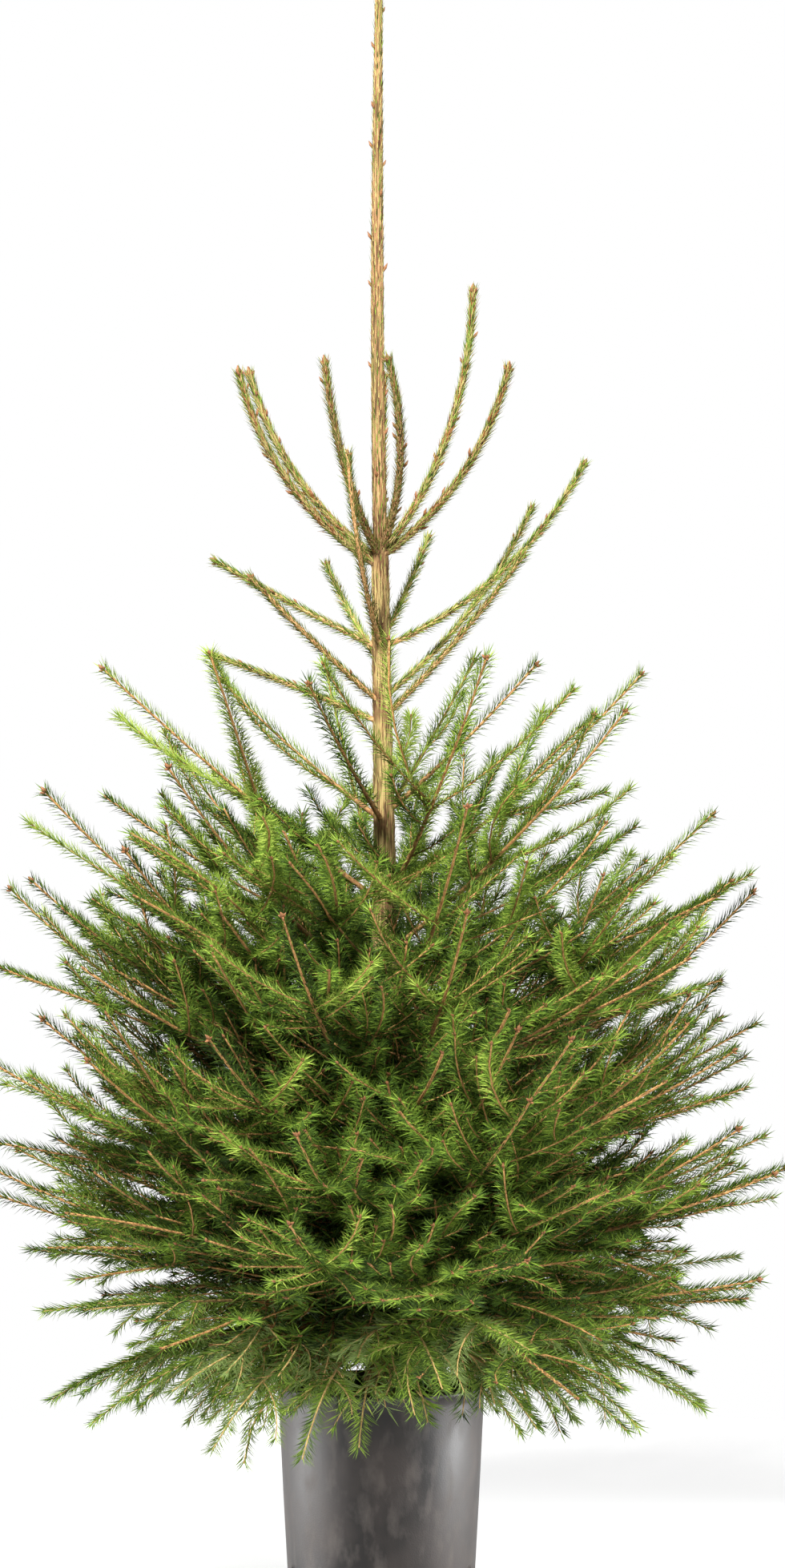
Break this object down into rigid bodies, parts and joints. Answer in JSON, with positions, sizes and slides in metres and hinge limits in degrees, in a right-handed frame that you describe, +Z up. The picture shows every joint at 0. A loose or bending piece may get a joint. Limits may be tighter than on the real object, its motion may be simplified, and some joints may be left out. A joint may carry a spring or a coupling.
{
  "type": "potted spruce tree",
  "caption": "Young potted spruce sold as a living Christmas tree: tall bare leader, whorls of rising shoots, dense needled crown, straight stem and a tapering grey plastic pot of soil.",
  "frame": {"origin": "centre of the pot's flat underside", "axes": "+Z up along the stem, +X to the right and +Y away as seen in the picture"},
  "size_m": [1.0038, 1.0287, 2.04],
  "materials": {
    "pot": "dark grey, satin, faintly scuffed",
    "soil": "dark brown moist compost, crumbly",
    "bark": "straw-brown ridged young bark",
    "needles": "green spruce needles on orange-brown twigs"
  },
  "bodies": {
    "root": {"bough_tier_4_a": "bark", "bough_tier_4_b": "bark", "bough_tier_4_c": "bark", "bough_tier_4_d": "bark", "bough_tier_5_a": "bark", "bough_tier_5_b": "bark", "bough_tier_5_c": "bark", "bough_tier_5_d": "bark", "crown_shoot_1": "needles", "crown_shoot_2": "needles", "crown_shoot_3": "needles", "crown_shoot_4": "needles", "crown_shoot_5": "needles", "crown_shoot_6": "needles", "crown_shoot_7": "needles", "foliage_tier_1_a": "needles", "foliage_tier_1_b": "needles", "foliage_tier_1_c": "needles", "foliage_tier_1_d": "needles", "foliage_tier_2_a": "needles", "foliage_tier_2_b": "needles", "foliage_tier_2_c": "needles", "foliage_tier_2_d": "needles", "foliage_tier_3_a": "needles", "foliage_tier_3_b": "needles", "foliage_tier_3_c": "needles", "foliage_tier_3_d": "needles", "foliage_tier_4_a": "needles", "foliage_tier_4_b": "needles", "foliage_tier_4_c": "needles", "foliage_tier_4_d": "needles", "foliage_tier_5_a": "needles", "foliage_tier_5_b": "needles", "foliage_tier_5_c": "needles", "foliage_tier_5_d": "needles", "foliage_tier_6_a": "needles", "foliage_tier_6_b": "needles", "foliage_tier_6_c": "needles", "foliage_tier_6_d": "needles", "foliage_tier_7_a": "needles", "foliage_tier_7_b": "needles", "foliage_tier_7_c": "needles", "foliage_tier_7_d": "needles", "foliage_tier_8_a": "needles", "foliage_tier_8_b": "needles", "foliage_tier_8_c": "needles", "foliage_tier_8_d": "needles", "pot": "pot", "soil": "soil", "trunk": "bark", "upper_shoot_10": "needles", "upper_shoot_11": "needles", "upper_shoot_12": "needles", "upper_shoot_13": "needles", "upper_shoot_14": "needles", "upper_shoot_15": "needles", "upper_shoot_16": "needles", "upper_shoot_8": "needles", "upper_shoot_9": "needles"}
  },
  "joints": []
}
